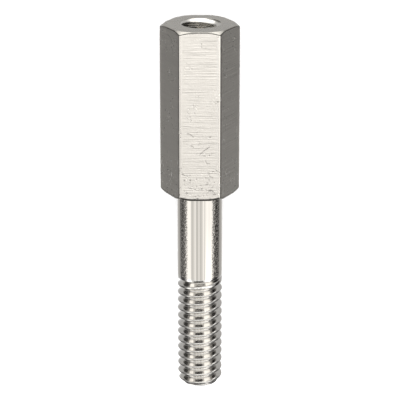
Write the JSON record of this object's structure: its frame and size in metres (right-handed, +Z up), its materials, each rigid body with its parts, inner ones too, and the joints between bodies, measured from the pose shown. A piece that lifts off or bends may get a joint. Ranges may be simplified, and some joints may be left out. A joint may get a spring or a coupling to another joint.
{
  "type": "hex standoff",
  "caption": "Metal hexagonal standoff with a tapped hole in one end and a long partly threaded stud on the other.",
  "frame": {"origin": "on the bench under the middle of the whole length, below the part's axis", "axes": "+Y along the axis out of the tapped end, so the stud points to -Y; +Z up, square to the flats that face up and down; +X across the corners"},
  "size_m": [0.0074, 0.035, 0.0063],
  "materials": {
    "turned_stainless_steel": "bright drawn stainless steel bar: fine drawn lines on the flats, turned ends and shank, cut threads"
  },
  "bodies": {
    "root": {"standoff": "turned_stainless_steel"}
  },
  "joints": []
}
